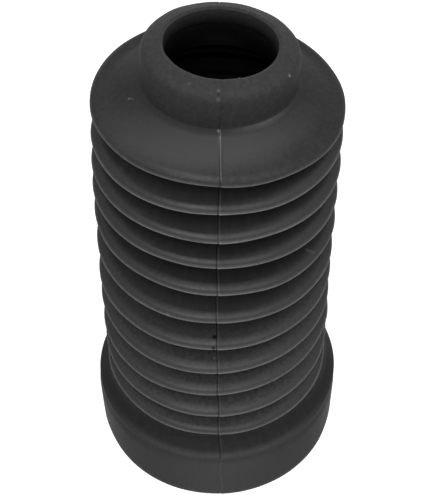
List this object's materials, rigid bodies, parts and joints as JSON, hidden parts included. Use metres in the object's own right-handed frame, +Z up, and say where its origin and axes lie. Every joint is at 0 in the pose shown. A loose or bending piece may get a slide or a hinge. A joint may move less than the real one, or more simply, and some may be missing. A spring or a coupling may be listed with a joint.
{
  "type": "rubber fork gaiter",
  "caption": "Black moulded rubber bellows that stands on a wide cuff, with a thick round collar on top and ring pleats between.",
  "frame": {"origin": "centre of the cuff's foot, on the surface that the gaiter stands on", "axes": "+Z up through the pleats to the collar, -Y towards the front mould line, +X to the side that the slack pleats lean to"},
  "size_m": [0.0904, 0.0904, 0.173],
  "materials": {
    "rubber": "matt moulded black"
  },
  "bodies": {
    "root": {"fork_gaiter": "rubber"}
  },
  "joints": []
}
